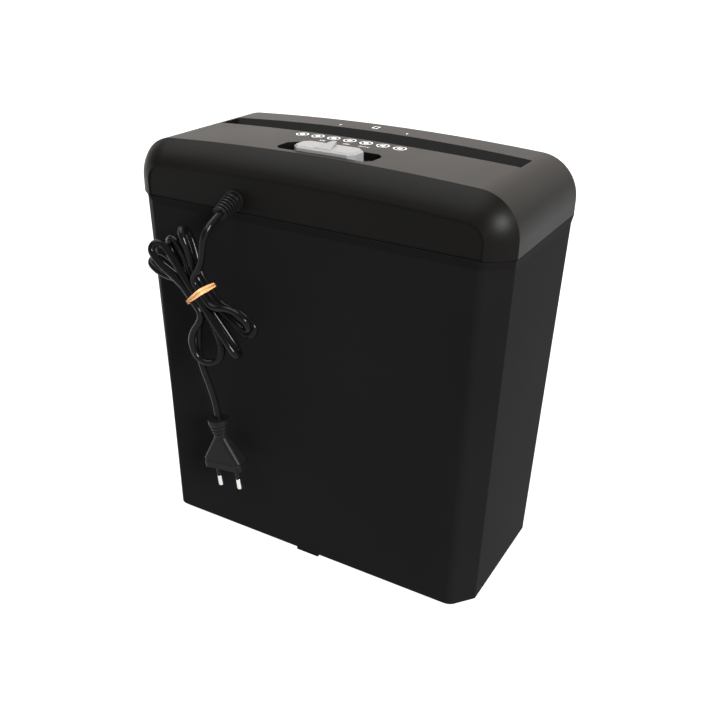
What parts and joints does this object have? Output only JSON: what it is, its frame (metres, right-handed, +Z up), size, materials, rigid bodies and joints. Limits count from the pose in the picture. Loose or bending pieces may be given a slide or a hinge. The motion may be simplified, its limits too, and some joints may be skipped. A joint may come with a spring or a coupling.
{
  "type": "paper shredder",
  "caption": "Upright strip-cut paper shredder: an arched motor head with feed slot and slide switch lifts off a tapered waste bin; tied mains lead with a flat plug.",
  "frame": {"origin": "middle of the footprint, on the floor under the bin's foot tabs", "axes": "+X along the width, +Y to the back where the mains lead comes out, +Z up"},
  "size_m": [0.3, 0.1811, 0.3299],
  "materials": {
    "bin_plastic": "satin",
    "cover_plastic": "fine texture",
    "knob_plastic": "satin",
    "inner_plastic": "plain",
    "gear_nylon": "plain",
    "plate_steel": "sheet",
    "cutter_steel": "ground",
    "zinc_steel": "zinc plated",
    "bush_bronze": "sintered",
    "pinion_brass": "cut",
    "motor_can": "plain",
    "board_green": "solder mask",
    "cord_pvc": "satin",
    "band_rubber": "matte",
    "pin_nickel": "nickel plated"
  },
  "bodies": {
    "bin": {"bin": "bin_plastic"},
    "head": {"head_cover": "cover_plastic", "head_base": "cover_plastic", "cover_screws": "zinc_steel", "slide_switch": "inner_plastic", "gear_side_plate": "plate_steel", "far_side_plate": "plate_steel", "tie_rods": "zinc_steel", "frame_screws": "zinc_steel", "shaft_bushes": "bush_bronze", "front_comb": "inner_plastic", "rear_comb": "inner_plastic", "gear_axle": "zinc_steel", "motor": "motor_can", "control_board": "board_green", "board_parts": "inner_plastic", "sensor_pin": "zinc_steel", "paper_sensor": "inner_plastic", "interlock_switch": "inner_plastic", "strain_relief": "cord_pvc", "cord_lead": "cord_pvc", "cord_hank": "cord_pvc", "cord_tail": "cord_pvc", "cord_tie": "band_rubber", "plug_body": "cord_pvc", "plug_pins": "pin_nickel"},
    "front_cutter": {"front_shaft": "cutter_steel", "front_discs": "cutter_steel", "front_spacers": "gear_nylon", "front_sync_gear": "cutter_steel", "front_clip": "zinc_steel"},
    "rear_cutter": {"rear_shaft": "cutter_steel", "rear_discs": "cutter_steel", "rear_spacers": "gear_nylon", "rear_sync_gear": "cutter_steel", "rear_clips": "zinc_steel", "final_gear": "gear_nylon"},
    "idler": {"compound_gear": "gear_nylon"},
    "rotor": {"motor_shaft": "cutter_steel", "motor_pinion": "pinion_brass"},
    "knob": {"switch_slider": "knob_plastic"},
    "lever": {"sensor_lever": "inner_plastic"},
    "plunger": {"interlock_plunger": "gear_nylon"}
  },
  "joints": [
    {"name": "head_lift", "type": "slide", "parent": "bin", "child": "head", "axis": [0, 0, 1], "range_m": [0, 0.15]},
    {"name": "rear_spin", "type": "hinge", "parent": "head", "child": "rear_cutter", "pos_m": [0, -0.003, 0.262], "axis": [1, 0, 0], "continuous": true},
    {"name": "front_spin", "type": "hinge", "parent": "head", "child": "front_cutter", "pos_m": [0, -0.033, 0.262], "axis": [1, 0, 0], "continuous": true},
    {"name": "idler_spin", "type": "hinge", "parent": "head", "child": "idler", "pos_m": [0.1215, 0.02857, 0.2771], "axis": [1, 0, 0], "continuous": true},
    {"name": "rotor_spin", "type": "hinge", "parent": "head", "child": "rotor", "pos_m": [0.1215, 0.04, 0.256], "axis": [1, 0, 0], "continuous": true},
    {"name": "switch_slide", "type": "slide", "parent": "head", "child": "knob", "axis": [1, 0, 0], "range_m": [-0.009, 0.009]},
    {"name": "sensor_swing", "type": "hinge", "parent": "head", "child": "lever", "pos_m": [0, -0.0085, 0.3015], "axis": [1, 0, 0], "range_deg": [0, 40], "stiffness_Nm_per_rad": 0.002, "springref_deg": -11.46},
    {"name": "plunger_drop", "type": "slide", "parent": "head", "child": "plunger", "axis": [0, 0, 1], "range_m": [-0.004, 0]}
  ],
  "couplings": [
    {"joint": "rear_spin", "follows": "idler_spin", "ratio": -0.27273},
    {"joint": "front_spin", "follows": "idler_spin", "ratio": 0.27273},
    {"joint": "rotor_spin", "follows": "idler_spin", "ratio": -4},
    {"joint": "plunger_drop", "follows": "head_lift", "ratio": -0.0266}
  ]
}
